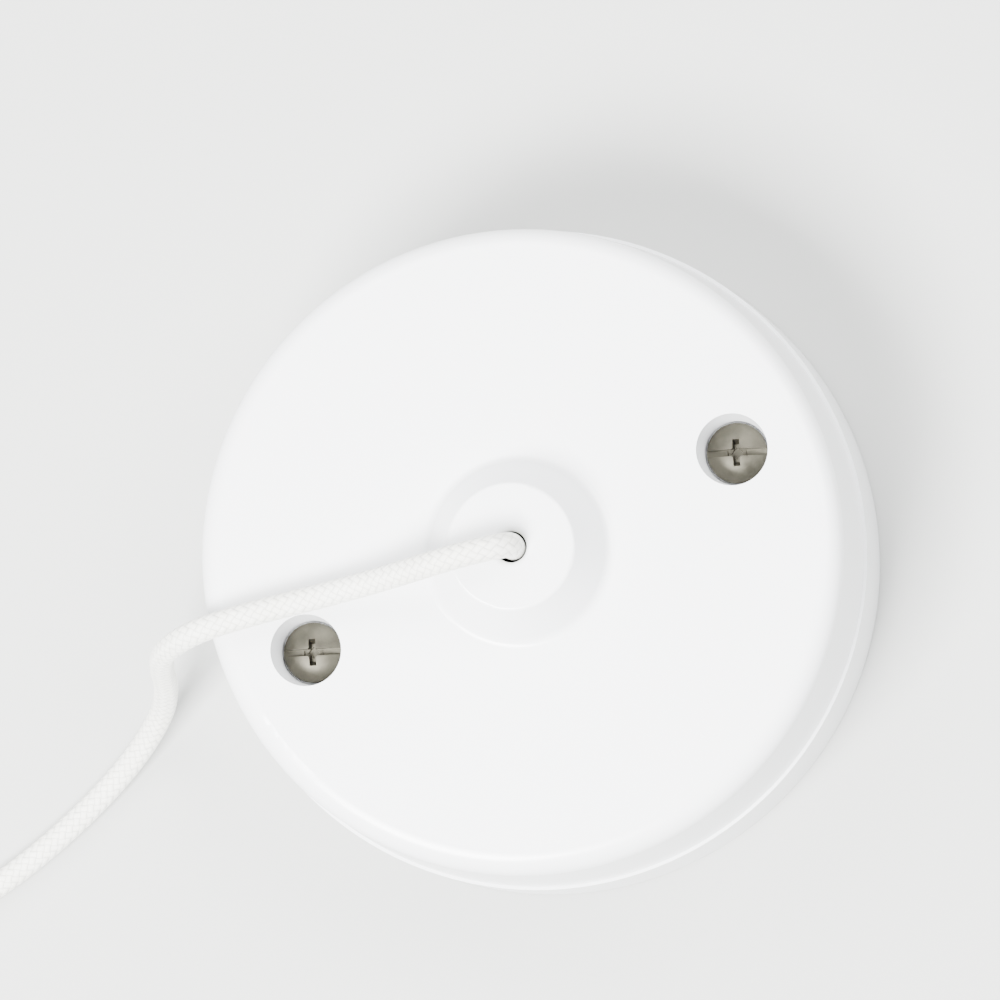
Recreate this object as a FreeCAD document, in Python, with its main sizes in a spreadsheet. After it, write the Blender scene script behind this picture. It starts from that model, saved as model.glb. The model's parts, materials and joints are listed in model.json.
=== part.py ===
import FreeCAD, Part
import math
import os
import re

import Sketcher

# Ceiling pull cord switch, one way, 6 A: a base plate and a drafted round cover, a ratchet mechanism
# in its own case under the cover, and a braided pull cord with a knob.
#
# Frame: millimetres, z = 0 on the base plate's ceiling face, +Z out of the boss (the way the cord is
# pulled), +X through the two cover screws. The cord is put away in a tied coil beside the switch.

Vector = FreeCAD.Vector
doc = FreeCAD.newDocument("PullCordSwitch")
sheet = doc.addObject("Spreadsheet::Sheet", "Sizes")

DRIVING = {
    # housing
    "base_radius": 43.2, "base_taper": 0.3, "base_height": 15, "base_floor": 2, "base_wall": 2.2,
    "lip_height": 1.6, "lip_wall": 1.2, "lip_gap": 0.15,
    "cover_step": 0.4, "cover_height": 18, "cover_draft": 1.3, "cover_wall": 2.2, "cover_face": 2.2,
    "edge_round": 2.8,
    "boss_base_radius": 11.7, "boss_top_radius": 8.1, "boss_height": 7, "boss_foot_round": 1.5,
    "boss_edge_round": 0.6, "hole_radius": 2.0, "hole_round": 0.8,
    # screws that hold the cover to the base, M3.5
    "screw_centres": 60.3, "thread_radius": 1.75, "head_radius": 3.9, "head_height": 2.1,
    "recess_depth": 7, "recess_mouth": 4.6, "recess_seat": 4.1, "recess_wall": 1.9,
    "seat_thickness": 2.5, "screw_length": 15, "insert_radius": 2.9, "insert_length": 12,
    "pillar_radius": 4.6,
    # holes in the base plate
    "slot_centres": 50.8, "slot_width": 4.5, "slot_length": 9, "cable_radius": 10,
    "knockout_width": 16, "knockout_height": 9, "knockout_skin": 0.9,
    # mechanism case
    "case_end_gap": 1, "case_side_gap": 2.3, "case_wall": 1.5, "case_roof": 1.6, "lid_bottom": 6.5,
    "lid_thickness": 1.5, "ear_reach": 4.2, "ear_radius": 3.2, "ear_thickness": 2,
    "tapping_radius": 1.3, "tapping_length": 5.5,
    # pull slider, return spring and ratchet
    "stroke": 5.5, "slider_half_width": 3, "slider_depth": 9, "flange_radius": 5.9,
    "flange_thickness": 2, "hub_radius": 3.4, "hub_height": 4.5,
    "spring_radius": 4.75, "spring_wire": 0.45, "spring_turns": 6,
    "pawl_tip_x": 5.55, "pawl_tip_radius": 0.4, "pawl_width": 3.8, "pawl_thickness": 0.6,
    "pawl_gap": 0.15, "teeth": 8, "wheel_width": 4.4, "tooth_height": 2.7, "tooth_overlap": 0.7,
    "axle_radius": 1.2, "bearing_gap": 0.05, "cam_start": 6.6, "cam_width": 4.4, "cam_valley": 4.3,
    "cam_lift": 0.9, "cam_gap": 0.15,
    # contacts and terminals
    "arm_reach": 6.2, "arm_tail": 24, "arm_width": 3, "arm_thickness": 1, "nub_height": 1.1,
    "pin_radius": 0.8, "pin_hub": 1.7, "tip_radius": 1.4, "tip_height": 0.7, "strip_thickness": 0.8,
    "contact_spring_radius": 1.1, "contact_spring_wire": 0.2, "contact_spring_turns": 6,
    "terminal_length": 6.5, "terminal_width": 6.5, "terminal_height": 8, "terminal_bore": 1.8,
    "clamp_radius": 1.7, "clamp_length": 6,
    # cord and what is on it
    "cord_radius": 1.6, "knot_radius": 2.35, "coil_radius": 17.6, "coil_columns": 3, "coil_rows": 4,
    "tie_width": 4, "tie_thickness": 0.5, "tie_gap": 0.4, "knob_length": 27, "knob_radius": 7,
    "knob_neck": 3.4,
}
DERIVED = {
    "cover_radius": "base_radius - base_taper - cover_step",
    "cover_inner": "cover_radius - cover_wall",
    "face_z": "base_height + cover_height",
    "ceiling_z": "face_z - cover_face",
    "boss_z": "face_z + boss_height",
    "boss_ceiling_z": "boss_z - cover_face",
    "screw_x": "screw_centres / 2",
    "seat_z": "face_z - recess_depth",
    "pillar_z": "seat_z - seat_thickness",
    "room_floor": "lid_bottom + lid_thickness",
    "room_roof": "ceiling_z - case_roof",
    "slider_y": "slider_depth / 2",
    "half_tooth": "180 / teeth",
    "drive_radius": "stroke / (2 * sin(half_tooth))",
    "wheel_radius": "drive_radius + tooth_overlap",
    "wheel_root": "wheel_radius - tooth_height",
    "wheel_x": "pawl_tip_x + drive_radius * cos(half_tooth)",
    "wheel_z": "room_floor + wheel_radius + 0.4",
    "pivot_x": "wheel_x + arm_reach",
    "room_x": "max(wheel_x + wheel_radius; pivot_x + pin_hub) + case_end_gap",
    "room_y": "cam_start + cam_width + case_side_gap",
    "case_x": "room_x + case_wall",
    "case_y": "room_y + case_wall",
    "ear_y": "case_y + ear_reach",
    "terminal_x": "room_x - terminal_length / 2 - 0.3",
    "terminal_y": "room_y - terminal_width / 2 - 1.1",
    "wheel_y": "wheel_width / 2",
    "flange_bottom": "wheel_z + wheel_radius * sin(half_tooth) + 0.7",
    "flange_z": "flange_bottom + flange_thickness",
    "pawl_tip_z": "wheel_z - stroke / 2 - pawl_tip_radius - pawl_gap",
    "pivot_z": "wheel_z + cam_valley + cam_gap + nub_height + arm_thickness / 2",
    "arm_y": "cam_start + cam_width / 2",
    "arm_turn": "cam_lift / arm_reach * 180 / pi",
    "tip_x": "pivot_x - arm_tail",
    "fixed_tip_z": "pivot_z + (arm_tail + tip_radius) * sin(arm_turn) + arm_thickness / 2 + tip_height + 0.08",
    "strip_z": "fixed_tip_z + tip_height",
    "terminal_z": "room_floor + terminal_height",
    "coil_z": "tie_thickness + 0.1",
    "coil_half_width": "coil_columns * cord_radius",
    "coil_height": "coil_rows * 2 * cord_radius",
}

# Where the put-away coil and the knob lie beside the switch, and how the knob is turned.
COIL_CENTRE = (-113.0, 12.5)
KNOB_MOUTH = (-114.5, 43.5)
KNOB_HEADING = 15.0

# The free cord's route, chosen by hand: out of the boss, folded over it, across the face, down the
# side and along the surface to the coil. The tail runs from the coil to the knob.
CORD_ROUTE = [
    (0.0, 0.0, 40.0), (0.0, 0.0, 42.5), (-1.5, 0.3, 44.4), (-4.1, 0.8, 45.0), (-8.2, 1.6, 44.3),
    (-13.2, 2.6, 41.2), (-19.0, 3.8, 37.9), (-26.5, 5.3, 36.7), (-35.0, 6.9, 37.0),
    (-42.0, 7.9, 36.2), (-47.2, 8.0, 31.0), (-49.6, 7.3, 23.4), (-51.2, 5.9, 14.4),
    (-54.6, 3.5, 6.4), (-62.4, -0.4, 2.0), (-73.0, -4.4, 1.8), (-84.0, -7.2, 2.1),
    (-95.0, -8.4, 2.2), (-105.5, -8.4, 2.2),
]
TAIL_ROUTE = [
    (-133.8, 11.6, 11.8), (-134.3, 21.6, 9.8), (-132.6, 30.6, 5.6), (-128.2, 37.6, 2.4),
    (-121.2, 41.7, 2.4), (-114.5, 43.5, 3.5),
]


def tie(text):
    """Write a size formula in the document's own words."""
    names = DRIVING.keys() | DERIVED.keys()
    word = lambda found: "Sizes." + found.group() if found.group() in names else found.group()
    return re.sub(r"[a-z]\w*", word, str(text))


def size(text):
    """The present value of a size formula."""
    return float(sheet.evalExpression(tie(text)))


def bind(thing, **properties):
    """Bind an object's properties to size formulas."""
    for name, text in properties.items():
        thing.setExpression(name, tie(text))
    return thing


def place(thing, x, y, z):
    """Bind an object's place to size formulas."""
    for axis, text in zip("xyz", (x, y, z)):
        thing.setExpression(".Placement.Base." + axis, tie(text))
    return thing


def box(across, along, up):
    """A box from the lowest and highest x, y and z."""
    solid = doc.addObject("Part::Box", "Box")
    spans = {name: "(%s) - (%s)" % (high, low)
             for name, (low, high) in zip(("Length", "Width", "Height"), (across, along, up))}
    return place(bind(solid, **spans), across[0], along[0], up[0])


TURNED = {
    "x": FreeCAD.Rotation(Vector(0, 1, 0), 90),
    "y": FreeCAD.Rotation(Vector(1, 0, 0), -90),
    "z": FreeCAD.Rotation(),
}


def rod(radius, axis, start, end, at):
    """A cylinder along x, y or z; at holds its place on the other two axes."""
    solid = doc.addObject("Part::Cylinder", "Rod")
    solid.Placement = FreeCAD.Placement(Vector(), TURNED[axis])
    centre = list(at)
    centre.insert("xyz".index(axis), start)
    return place(bind(solid, Radius=radius, Height="(%s) - (%s)" % (end, start)), *centre)


def cone(low_radius, high_radius, start, end, x, y=0):
    """A cone that stands along z."""
    solid = doc.addObject("Part::Cone", "Cone")
    bind(solid, Radius1=low_radius, Radius2=high_radius, Height="(%s) - (%s)" % (end, start))
    return place(solid, x, y, start)


def fuse(*solids):
    joined = doc.addObject("Part::MultiFuse", "Fuse")
    joined.Shapes = list(solids)
    return joined


def cut(base, *tools):
    taken = doc.addObject("Part::Cut", "Cut")
    taken.Base = base
    taken.Tool = tools[0] if len(tools) == 1 else fuse(*tools)
    return taken


def new_body(name):
    return doc.addObject("PartDesign::Body", name)


def add_sketch(body, role, name):
    sketch = body.newObject("Sketcher::SketchObject", name)
    plane = next(feature for feature in body.Origin.OriginFeatures if feature.Role == role)
    sketch.AttachmentSupport = [(plane, "")]
    sketch.MapMode = "FlatFace"
    return sketch


def draw_outline(sketch, corners):
    """A closed outline whose corners are bound to size formulas."""
    spots = [Vector(size(x), size(y), 0) for x, y in corners]
    count = len(spots)
    sides = [Part.LineSegment(spots[i], spots[(i + 1) % count]) for i in range(count)]
    sketch.addGeometry(sides, False)
    for i in range(count):
        sketch.addConstraint(Sketcher.Constraint("Coincident", i, 2, (i + 1) % count, 1))
    for i, corner in enumerate(corners):
        for kind, text, value in zip(("DistanceX", "DistanceY"), corner, (spots[i].x, spots[i].y)):
            index = sketch.addConstraint(Sketcher.Constraint(kind, -1, 1, i, 1, value))
            sketch.setExpression("Constraints[%d]" % index, tie(text))


def turned(name, corners):
    """A body turned about the z axis from an outline of (radius, height) corners."""
    body = new_body(name)
    sketch = add_sketch(body, "XZ_Plane", name + "Profile")
    draw_outline(sketch, corners)
    turn = body.newObject("PartDesign::Revolution", name + "Turn")
    turn.Profile = sketch
    turn.ReferenceAxis = (sketch, ["V_Axis"])
    turn.Angle = 360
    return body


def plate(name, corners, low_y, high_y):
    """A body of even thickness from an outline of (x, z) corners, between two values of y."""
    body = new_body(name)
    sketch = add_sketch(body, "XZ_Plane", name + "Profile")
    draw_outline(sketch, corners)
    pad = body.newObject("PartDesign::Pad", name + "Pad")
    pad.Profile = sketch
    bind(pad, Length="(%s) - (%s)" % (high_y, low_y))
    return place(body, 0, high_y, 0)


def round_ring(body, name, rings, radius):
    """Round the circular edges at the given (radius, height) places of a turned body."""
    doc.recompute()
    wanted = [(size(ring), size(height)) for ring, height in rings]
    edges = ["Edge%d" % number for number, edge in enumerate(body.Shape.Edges, 1)
             if isinstance(edge.Curve, Part.Circle) and any(
                 abs(edge.Curve.Radius - ring) < 0.01 and abs(edge.Curve.Center.z - height) < 0.01
                 for ring, height in wanted)]
    base = body.Tip
    fillet = body.newObject("PartDesign::Fillet", name)
    fillet.Base = (base, edges)
    bind(fillet, Radius=radius)


SUBPARTS = []


def subpart(label, thing):
    thing.Label = label
    SUBPARTS.append(thing)


def feature(label, shape, placement=FreeCAD.Placement()):
    thing = doc.addObject("Part::Feature", label.title().replace("_", ""))
    thing.Shape = shape
    thing.Placement = placement
    subpart(label, thing)


# ---- housing --------------------------------------------------------------------------------

def make_base_plate():
    """The ceiling half: a shallow cup with a lip for the cover, pillars, slots and a cable hole."""
    lip = "cover_inner - lip_gap"
    shell = turned("BaseShell", [
        ("cable_radius", 0), ("base_radius", 0), ("base_radius - base_taper", "base_height"),
        (lip, "base_height"), (lip, "base_height + lip_height"),
        (lip + " - lip_wall", "base_height + lip_height"), (lip + " - lip_wall", "base_height - 3"),
        ("base_radius - base_wall", "base_height - 6"), ("base_radius - base_wall", "base_floor"),
        ("cable_radius", "base_floor")])
    pillars = [rod("pillar_radius", "z", "base_floor - 0.5", "pillar_z", (x, 0))
               for x in ("screw_x", "-screw_x")]
    sockets = [rod("insert_radius", "z", "pillar_z - insert_length - 1", "pillar_z + 1", (x, 0))
               for x in ("screw_x", "-screw_x")]
    slots = [fuse(box(("-slot_width / 2", "slot_width / 2"),
                      (side + "slot_centres / 2 - (slot_length - slot_width) / 2",
                       side + "slot_centres / 2 + (slot_length - slot_width) / 2"),
                      (-1, "base_floor + 1")),
                  *[rod("slot_width / 2", "z", -1, "base_floor + 1",
                        (0, side + "slot_centres / 2" + end)) for end in
                    (" - (slot_length - slot_width) / 2", " + (slot_length - slot_width) / 2")])
             for side in ("", "-")]
    knockouts = [box(("-knockout_width / 2", "knockout_width / 2"), span,
                     ("base_floor", "base_floor + knockout_height"))
                 for span in (("base_radius - base_wall - 4", "base_radius - base_taper - knockout_skin - 0.8"),
                              ("knockout_skin + base_taper + 0.8 - base_radius", "base_wall + 4 - base_radius"))]
    subpart("base_plate", cut(fuse(shell, *pillars), *sockets, *slots, *knockouts))


def make_cover():
    """The drafted cover: rounded face edge, hollow conical boss, cord hole and screw recesses."""
    draft = "cover_draft * cover_face / cover_height"
    shell = turned("CoverShell", [
        ("hole_radius", "boss_ceiling_z"), ("boss_top_radius - cover_face", "boss_ceiling_z"),
        ("boss_base_radius - cover_face", "ceiling_z"),
        ("cover_inner - cover_draft + " + draft, "ceiling_z"), ("cover_inner", "base_height"),
        ("cover_radius", "base_height"), ("cover_radius - cover_draft", "face_z"),
        ("boss_base_radius", "face_z"), ("boss_top_radius", "boss_z"), ("hole_radius", "boss_z")])
    round_ring(shell, "FaceEdge", [("cover_radius - cover_draft", "face_z")], "edge_round")
    round_ring(shell, "BossFoot", [("boss_base_radius", "face_z")], "boss_foot_round")
    round_ring(shell, "BossEdge", [("boss_top_radius", "boss_z")], "boss_edge_round")
    round_ring(shell, "HoleLip", [("hole_radius", "boss_z")], "hole_round")
    both = ("screw_x", "-screw_x")
    tubes = [cone("recess_seat + recess_wall", "recess_mouth + recess_wall", "pillar_z", "ceiling_z + 0.5", x)
             for x in both]
    mouths = [cone("recess_seat", "recess_mouth", "seat_z", "face_z + 0.01", x) for x in both]
    holes = [rod("thread_radius + 0.25", "z", "pillar_z - 1", "seat_z + 1", (x, 0)) for x in both]
    bosses = [rod("ear_radius", "z", "ceiling_z - tapping_length", "ceiling_z + 0.5", (0, y))
              for y in ("ear_y", "-ear_y")]
    pilots = [rod("tapping_radius - 0.15", "z", "ceiling_z - tapping_length - 1", "ceiling_z - 0.6", (0, y))
              for y in ("ear_y", "-ear_y")]
    subpart("cover", cut(fuse(shell, *tubes, *bosses), *mouths, *holes, *pilots))


def make_cover_screws():
    """Two raised-head screws with a cross recess, and the brass inserts they turn in."""
    screws = []
    inserts = []
    for x in ("screw_x", "-screw_x"):
        head = fuse(rod("head_radius", "z", "seat_z", "seat_z + head_height * 0.6", (x, 0)),
                    cone("head_radius", "head_radius * 0.72", "seat_z + head_height * 0.6",
                         "seat_z + head_height", x),
                    rod("thread_radius - 0.04", "z", "seat_z - screw_length", "seat_z", (x, 0)))
        low = "seat_z + head_height * 0.45"
        high = "seat_z + head_height + 0.1"
        arm = "head_radius * 0.55"
        slot = "head_radius * 0.13"
        cross = [box((x + " - " + arm, x + " + " + arm), ("-" + slot, slot), (low, high)),
                 box((x + " - " + slot, x + " + " + slot), ("-" + arm, arm), (low, high))]
        screws.append(cut(head, *cross))
        inserts.append(cut(rod("insert_radius - 0.02", "z", "pillar_z - insert_length", "pillar_z", (x, 0)),
                           rod("thread_radius", "z", "pillar_z - insert_length - 1", "pillar_z + 1", (x, 0))))
    subpart("cover_screws", fuse(*screws))
    subpart("screw_inserts", fuse(*inserts))


# ---- mechanism case ---------------------------------------------------------------------------

def make_switch_body():
    """The case: open towards the ceiling, held to the cover by two ears."""
    shell = box(("-case_x", "case_x"), ("-case_y", "case_y"), ("room_floor", "ceiling_z"))
    room = box(("-room_x", "room_x"), ("-room_y", "room_y"), ("room_floor - 1", "room_roof"))
    ear_top = "ceiling_z - tapping_length"
    ears = [solid for side in ("", "-") for solid in (
        rod("ear_radius", "z", ear_top + " - ear_thickness", ear_top, (0, side + "ear_y")),)]
    webs = [box(("-ear_radius", "ear_radius"), span, (ear_top + " - ear_thickness", ear_top))
            for span in (("case_y - 0.5", "ear_y"), ("-ear_y", "0.5 - case_y"))]
    ear_holes = [rod("tapping_radius + 0.1", "z", ear_top + " - ear_thickness - 1", ear_top + " + 1",
                     (0, side + "ear_y")) for side in ("", "-")]
    chimney = rod("flange_radius + 0.4", "z", "room_roof - 1", "ceiling_z + 1", (0, 0))
    bearings = [rod("axle_radius + 0.01", "y", "-case_y - 1", "case_y + 1", ("wheel_x", "wheel_z")),
                rod("pin_radius + 0.01", "y", "-case_y - 1", "case_y + 1", ("pivot_x", "pivot_z"))]
    wire_z = "room_floor + terminal_height * 0.6"
    wires = [rod("terminal_bore + 0.7", "y", "room_y - 0.5", "case_y + 0.5", ("-terminal_x", wire_z)),
             rod("terminal_bore + 0.7", "y", "-case_y - 0.5", "0.5 - room_y", ("-terminal_x", wire_z)),
             rod("terminal_bore + 0.7", "y", "-case_y - 0.5", "0.5 - room_y", ("terminal_x", wire_z))]
    subpart("switch_body", cut(fuse(shell, *ears, *webs), room, chimney, *bearings, *wires, *ear_holes))


def make_switch_body_lid():
    """The lid on the ceiling side, with two walls that guide the slider and holes for the clamps."""
    sheet_solid = box(("-case_x", "case_x"), ("-case_y", "case_y"), ("lid_bottom", "room_floor"))
    guides = [box(("-slider_half_width", "slider_half_width"), span, ("room_floor - 0.5", "flange_bottom - 0.5"))
              for span in (("slider_y + 0.2", "slider_y + 1.6"), ("-slider_y - 1.6", "-slider_y - 0.2"))]
    holes = [rod("clamp_radius + 0.3", "z", "lid_bottom - 1", "room_floor + 1", spot)
             for spot in TERMINALS.values()]
    subpart("switch_body_lid", cut(fuse(sheet_solid, *guides), *holes))


def make_body_screws():
    """Two self-tapping screws through the ears into the cover."""
    ear_low = "ceiling_z - tapping_length - ear_thickness"
    screws = [fuse(rod("ear_radius * 0.8", "z", ear_low + " - 1.6", ear_low, (0, side + "ear_y")),
                   rod("tapping_radius - 0.17", "z", ear_low, "ceiling_z - 1", (0, side + "ear_y")))
              for side in ("", "-")]
    subpart("body_screws", fuse(*screws))


# ---- pull slider and ratchet --------------------------------------------------------------------

def make_pull_slider():
    """The slider: a stem with a pocket for the cord's knot, a flange for the spring and a hub."""
    stem = box(("-slider_half_width", "slider_half_width"), ("-slider_y", "slider_y"),
               ("room_floor + 1", "flange_bottom"))
    flange = rod("flange_radius", "z", "flange_bottom", "flange_z", (0, 0))
    hub = rod("hub_radius", "z", "flange_z", "flange_z + hub_height", (0, 0))
    pocket = box(("-slider_half_width - 1", "knot_radius + 0.15"),
                 ("-knot_radius - 0.15", "knot_radius + 0.15"),
                 ("flange_bottom - 2 * knot_radius", "flange_bottom"))
    bore = rod("cord_radius + 0.15", "z", "flange_bottom - 1", "flange_z + hub_height + 1", (0, 0))
    subpart("pull_slider", cut(fuse(stem, flange, hub), pocket, bore))


def make_drive_pawl():
    """A spring-steel finger on the slider; its round tip lifts one ratchet tooth per pull."""
    foot_x = "slider_half_width"
    blade = plate("PawlBlade", [
        (foot_x, "room_floor + 1.2"), (foot_x + " + pawl_thickness", "room_floor + 1.2"),
        (foot_x + " + pawl_thickness", "room_floor + 2.9"), ("pawl_tip_x + 0.22", "pawl_tip_z - 0.2"),
        ("pawl_tip_x - 0.28", "pawl_tip_z + 0.2"), (foot_x, "room_floor + 3.3")],
        "-pawl_width / 2", "pawl_width / 2")
    tip = rod("pawl_tip_radius", "y", "-pawl_width / 2", "pawl_width / 2", ("pawl_tip_x", "pawl_tip_z"))
    subpart("drive_pawl", fuse(blade, tip))


def make_ratchet_cam():
    """One moulding: ratchet wheel, hub and a cam with four rises."""
    steps = int(size("teeth"))
    corners = []
    for tooth in range(steps):
        face = "(half_tooth + %d * 2 * half_tooth)" % tooth
        for radius in ("wheel_radius", "wheel_root"):
            corners.append(("wheel_x + %s * cos(%s)" % (radius, face), "wheel_z + %s * sin(%s)" % (radius, face)))
    wheel = plate("Wheel", corners, "-wheel_y", "wheel_y")
    # each rise and fall of the cam is one straight ramp, drawn with two chords
    outline = []
    for step in range(2 * steps):
        turn = "(%d * half_tooth)" % step
        radius = "(cam_valley + cam_lift * %s)" % (0, 0.5, 1, 0.5)[step % 4]
        outline.append(("wheel_x + %s * cos(%s)" % (radius, turn), "wheel_z + %s * sin(%s)" % (radius, turn)))
    cam = plate("Cam", outline, "cam_start", "cam_start + cam_width")
    hub = rod("axle_radius + 1.8", "y", "wheel_y - 0.5", "cam_start + 0.5", ("wheel_x", "wheel_z"))
    bore = rod("axle_radius + bearing_gap", "y", "-wheel_y - 1", "cam_start + cam_width + 1", ("wheel_x", "wheel_z"))
    subpart("ratchet_cam", cut(fuse(wheel, hub, cam), bore))


def make_shafts():
    subpart("wheel_axle", rod("axle_radius", "y", "-case_y + 0.3", "case_y - 0.3", ("wheel_x", "wheel_z")))
    subpart("contact_pivot_pin", rod("pin_radius", "y", "-case_y + 0.3", "case_y - 0.3", ("pivot_x", "pivot_z")))
    subpart("pawl_rivet", rod(0.5, "x", "slider_half_width + pawl_thickness",
                              "slider_half_width + pawl_thickness + 0.3", (0, "room_floor + 2")))


def make_backstop():
    """A leaf beside the wheel that clicks into the teeth."""
    out = "wheel_x + wheel_radius + 0.25"
    subpart("backstop_spring", plate("Backstop", [
        ("wheel_x + wheel_root", "room_floor"), (out + " + 0.4", "room_floor"),
        (out + " + 0.4", "wheel_z"), (out, "wheel_z"), (out, "room_floor + 0.5"),
        ("wheel_x + wheel_root", "room_floor + 0.5")], "-pawl_width / 2", "pawl_width / 2"))


# ---- contacts and terminals -----------------------------------------------------------------------

TERMINALS = {
    "terminal_load": ("-terminal_x", "terminal_y"),
    "terminal_earth": ("-terminal_x", "-terminal_y"),
    "terminal_line": ("terminal_x", "-terminal_y"),
}


def make_terminals():
    """Brass blocks with a wire bore and a clamp screw that is reached from the ceiling side."""
    clamps = []
    for label, (x, y) in TERMINALS.items():
        block = box((x + " - terminal_length / 2", x + " + terminal_length / 2"),
                    (y + " - terminal_width / 2", y + " + terminal_width / 2"), ("room_floor", "terminal_z"))
        wire = rod("terminal_bore", "y", y + " - terminal_width", y + " + terminal_width",
                   (x, "room_floor + terminal_height * 0.6"))
        thread = rod("clamp_radius + 0.03", "z", "room_floor - 1", "room_floor + terminal_height * 0.6", (x, y))
        subpart(label, cut(block, wire, thread))
        screw = rod("clamp_radius", "z", "lid_bottom - 0.6", "lid_bottom - 0.6 + clamp_length", (x, y))
        slot = box((x + " - clamp_radius - 1", x + " + clamp_radius + 1"), (y + " - 0.35", y + " + 0.35"),
                   ("lid_bottom - 1", "lid_bottom + 0.4"))
        clamps.append(cut(screw, slot))
    subpart("terminal_screws", fuse(*clamps))


def make_contact_arm():
    """The switching arm: a hub on its pin, a blade with a nub on the cam and a contact at its tip."""
    low_y = "arm_y - arm_width / 2"
    high_y = "arm_y + arm_width / 2"
    blade = box(("tip_x - tip_radius - 0.4", "pivot_x"), (low_y, high_y),
                ("pivot_z - arm_thickness / 2", "pivot_z + arm_thickness / 2"))
    hub = rod("pin_hub", "y", low_y, high_y, ("pivot_x", "pivot_z"))
    nub = fuse(rod("nub_height / 2", "y", low_y, high_y,
                   ("wheel_x", "pivot_z - arm_thickness / 2 - nub_height / 2")),
               box(("wheel_x - nub_height / 2", "wheel_x + nub_height / 2"), (low_y, high_y),
                   ("pivot_z - arm_thickness / 2 - nub_height / 2", "pivot_z")))
    bore = rod("pin_radius + bearing_gap", "y", low_y + " - 1", high_y + " + 1", ("pivot_x", "pivot_z"))
    subpart("contact_arm", cut(fuse(blade, hub, nub), bore))
    subpart("moving_contact_tip", rod("tip_radius", "z", "pivot_z + arm_thickness / 2",
                                      "pivot_z + arm_thickness / 2 + tip_height", ("tip_x", "arm_y")))


def make_fixed_contacts():
    """The load terminal's strip with its contact, and the line terminal's strip to the pivot pin."""
    back = "-terminal_x + terminal_length / 2"
    low_y = "arm_y - arm_width / 2"
    high_y = "arm_y + arm_width / 2"
    subpart("fixed_contact_strip", plate("FixedStrip", [
        (back, "terminal_z"), (back, "strip_z + strip_thickness"),
        ("tip_x + tip_radius + 0.4", "strip_z + strip_thickness"), ("tip_x + tip_radius + 0.4", "strip_z"),
        (back + " + strip_thickness", "strip_z"), (back + " + strip_thickness", "terminal_z - 2"),
        (back, "terminal_z - 2")], low_y, high_y))
    subpart("fixed_contact_tip", rod("tip_radius", "z", "fixed_tip_z", "strip_z", ("tip_x", "arm_y")))
    link = box(("pivot_x - 1.6", "pivot_x + 1.6"), ("-terminal_y - 0.5", "-terminal_y + 0.5"),
               ("terminal_z", "pivot_z + 1.8"))
    eye = rod("pin_radius + 0.01", "y", "-terminal_y - 1", "-terminal_y + 1", ("pivot_x", "pivot_z"))
    subpart("line_strip", cut(link, eye))


def coil_spring(radius, wire, turns, low, high, centre):
    """A round-wire compression spring between two heights."""
    length = high - low - 2 * wire
    helix = Part.makeHelix(length / turns, length, radius)
    section = Part.Wire(Part.Circle(Vector(radius, 0, 0), Vector(0, 1, 0), wire).toShape())
    coil = Part.Wire(helix.Edges).makePipeShell([section], True, True)
    return coil, FreeCAD.Placement(Vector(centre[0], centre[1], low + wire), FreeCAD.Rotation())


def make_springs():
    feature("return_spring", *coil_spring(
        size("spring_radius"), size("spring_wire"), size("spring_turns"),
        size("flange_z") + 0.02, size("boss_ceiling_z") - 0.02, (0, 0)))
    feature("contact_spring", *coil_spring(
        size("contact_spring_radius"), size("contact_spring_wire"), size("contact_spring_turns"),
        size("pivot_z + arm_thickness / 2") + 0.02, size("room_roof") - 0.02,
        (size("pivot_x - arm_reach * 2.2"), size("arm_y"))))


# ---- cord -------------------------------------------------------------------------------------------

def cord_tube(label, route):
    """A tube along straight runs joined by tangent arcs; prints its arcs and compares its volume."""
    points = [Vector(*point) for point in route]
    radius = size("cord_radius")
    edges = []
    radii = []
    start = points[0]
    for before, corner, after in zip(points, points[1:], points[2:]):
        back = (before - corner).normalize()
        ahead = (after - corner).normalize()
        reach = 0.45 * min((before - corner).Length, (after - corner).Length)
        half_turn = (math.pi - back.getAngle(ahead)) / 2
        bend = reach / math.tan(half_turn)
        radii.append(round(bend / (2 * radius), 1))
        inward = (back + ahead).normalize()
        middle = corner + inward * (bend / math.cos(half_turn) - bend)
        edges.append(Part.LineSegment(start, corner + back * reach).toShape())
        edges.append(Part.Arc(corner + back * reach, middle, corner + ahead * reach).toShape())
        start = corner + ahead * reach
    edges.append(Part.LineSegment(start, points[-1]).toShape())
    path = Part.Wire(edges)
    section = Part.Wire(Part.Circle(points[0], points[1] - points[0], radius).toShape())
    tube = path.makePipeShell([section], True, False)
    expected = math.pi * radius ** 2 * path.Length
    print(label, "length %.1f mm, arcs in diameters %s, volume %.4f of expected"
          % (path.Length, radii, tube.Volume / expected))
    feature(label, tube)


def make_inner_cord():
    """The cord inside the boss, and the knot that stops it in the slider."""
    subpart("cord_inner", rod("cord_radius", "z", "flange_bottom", "boss_z", (0, 0)))
    knot = doc.addObject("Part::Ellipsoid", "Knot")
    bind(knot, Radius1="knot_radius * 0.85", Radius2="knot_radius")
    subpart("cord_knot_inner", place(knot, 0, 0, "flange_bottom - knot_radius * 0.85"))


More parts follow.
